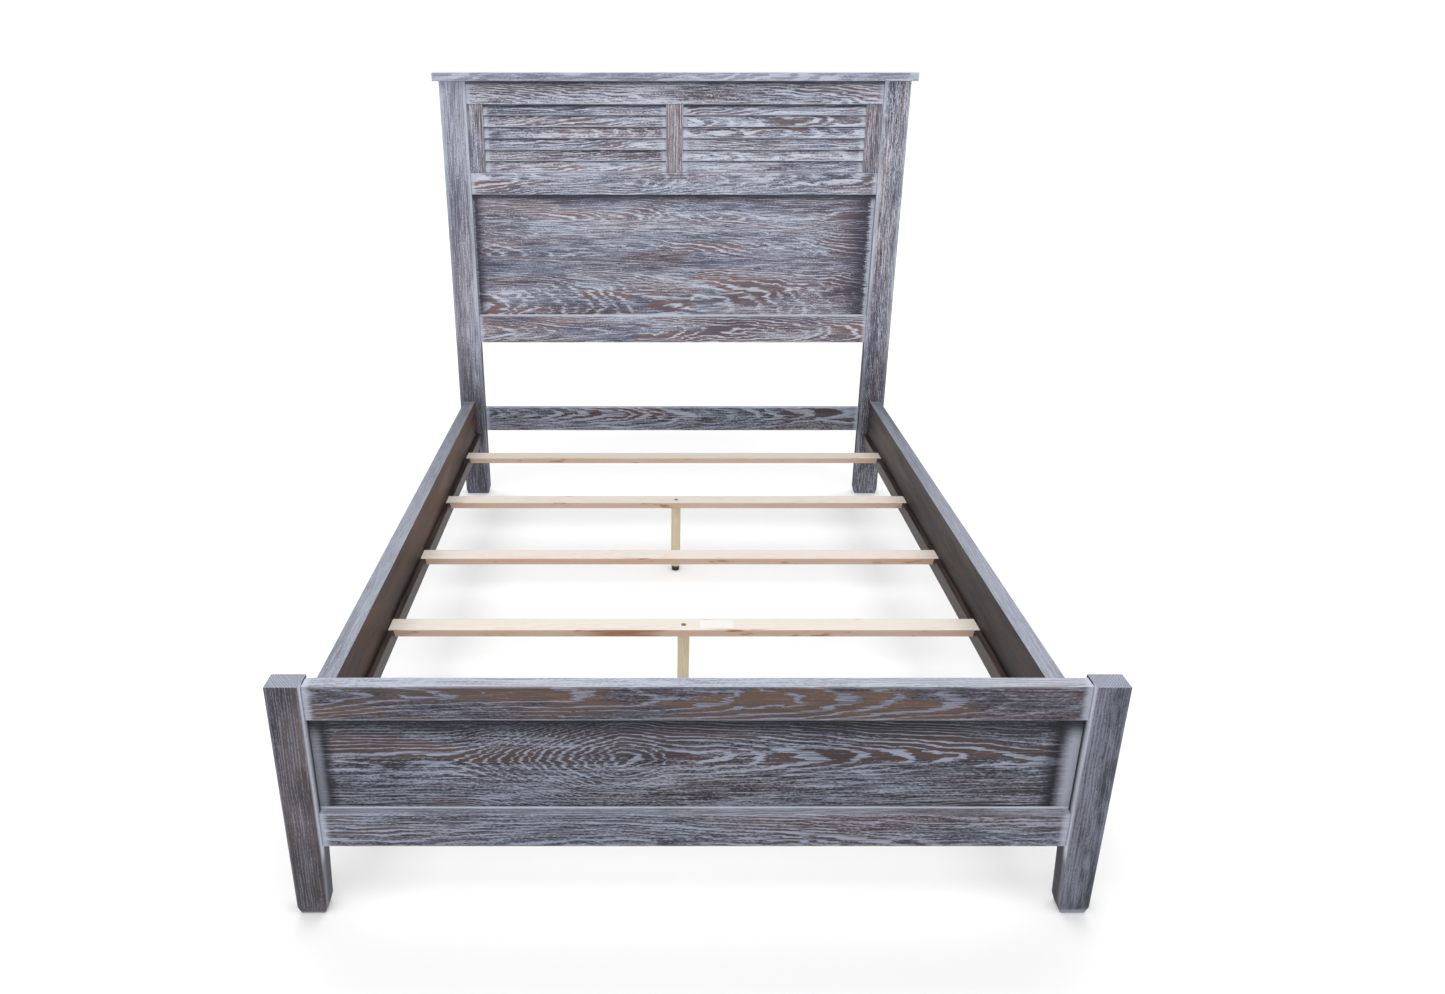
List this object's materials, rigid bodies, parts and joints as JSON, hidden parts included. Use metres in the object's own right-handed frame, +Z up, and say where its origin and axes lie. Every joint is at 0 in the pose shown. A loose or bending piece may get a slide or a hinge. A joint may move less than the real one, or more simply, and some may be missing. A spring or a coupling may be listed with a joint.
{
  "type": "bed frame",
  "caption": "Panel bed frame in whitewashed dark oak: tall headboard with fixed louvers over a flat panel, low panel footboard, side rails and loose slats with turned centre legs.",
  "frame": {"origin": "on the floor under the middle of the whole bed, the bottom centre of its bounding box", "axes": "+X to the right seen from the foot, +Y from the footboard to the headboard, +Z up"},
  "size_m": [1.696, 2.136, 1.6153],
  "materials": {
    "cerused_oak": "wire-brushed oak, dark brown-grey with white in the grain, matte",
    "brown_stain": "plain dark brown stain, low satin",
    "pine": "bare sawn pine",
    "dowel_wood": "bare turned hardwood",
    "black_plastic": "moulded black plastic",
    "steel": "zinc-plated steel"
  },
  "bodies": {
    "frame": {"head_post_left": "cerused_oak", "head_post_right": "cerused_oak", "head_cap": "cerused_oak", "head_top_rail": "cerused_oak", "head_mid_rail": "cerused_oak", "head_bottom_rail": "cerused_oak", "head_stretcher": "cerused_oak", "head_panel": "cerused_oak", "louver_stile_left": "cerused_oak", "louver_stile_center": "cerused_oak", "louver_stile_right": "cerused_oak", "louver_left_1": "cerused_oak", "louver_left_2": "cerused_oak", "louver_left_3": "cerused_oak", "louver_left_4": "cerused_oak", "louver_left_5": "cerused_oak", "louver_left_6": "cerused_oak", "louver_right_1": "cerused_oak", "louver_right_2": "cerused_oak", "louver_right_3": "cerused_oak", "louver_right_4": "cerused_oak", "louver_right_5": "cerused_oak", "louver_right_6": "cerused_oak", "foot_post_left": "cerused_oak", "foot_post_right": "cerused_oak", "foot_top_rail": "cerused_oak", "foot_bottom_rail": "cerused_oak", "foot_panel": "cerused_oak", "side_rail_left": "cerused_oak", "side_rail_right": "cerused_oak", "ledger_left": "brown_stain", "ledger_right": "brown_stain", "rail_stud_foot_left_lower": "steel", "rail_stud_foot_left_upper": "steel", "rail_stud_foot_right_lower": "steel", "rail_stud_foot_right_upper": "steel", "rail_stud_head_left_lower": "steel", "rail_stud_head_left_upper": "steel", "rail_stud_head_right_lower": "steel", "rail_stud_head_right_upper": "steel", "rail_nut_foot_left_lower": "steel", "rail_nut_foot_left_upper": "steel", "rail_nut_foot_right_lower": "steel", "rail_nut_foot_right_upper": "steel", "rail_nut_head_left_lower": "steel", "rail_nut_head_left_upper": "steel", "rail_nut_head_right_lower": "steel", "rail_nut_head_right_upper": "steel"},
    "slat_1": {"slat_1": "pine"},
    "slat_2": {"slat_2": "pine", "support_leg_2": "dowel_wood", "leg_bolt_2": "steel"},
    "slat_3": {"slat_3": "pine"},
    "slat_4": {"slat_4": "pine", "support_leg_4": "dowel_wood", "leg_bolt_4": "steel"},
    "slat_5": {"slat_5": "pine"},
    "glide_2": {"glide_2": "black_plastic"},
    "glide_4": {"glide_4": "black_plastic"}
  },
  "joints": [
    {"name": "slat_1_lift", "type": "slide", "parent": "frame", "child": "slat_1", "axis": [0, 0, 1], "range_m": [0, 0.42]},
    {"name": "slat_2_lift", "type": "slide", "parent": "frame", "child": "slat_2", "axis": [0, 0, 1], "range_m": [0, 0.42]},
    {"name": "slat_3_lift", "type": "slide", "parent": "frame", "child": "slat_3", "axis": [0, 0, 1], "range_m": [0, 0.42]},
    {"name": "slat_4_lift", "type": "slide", "parent": "frame", "child": "slat_4", "axis": [0, 0, 1], "range_m": [0, 0.42]},
    {"name": "slat_5_lift", "type": "slide", "parent": "frame", "child": "slat_5", "axis": [0, 0, 1], "range_m": [0, 0.42]},
    {"name": "glide_2_level", "type": "slide", "parent": "slat_2", "child": "glide_2", "axis": [0, 0, 1], "range_m": [-0.01, 0.0015]},
    {"name": "glide_4_level", "type": "slide", "parent": "slat_4", "child": "glide_4", "axis": [0, 0, 1], "range_m": [-0.01, 0.0015]}
  ]
}
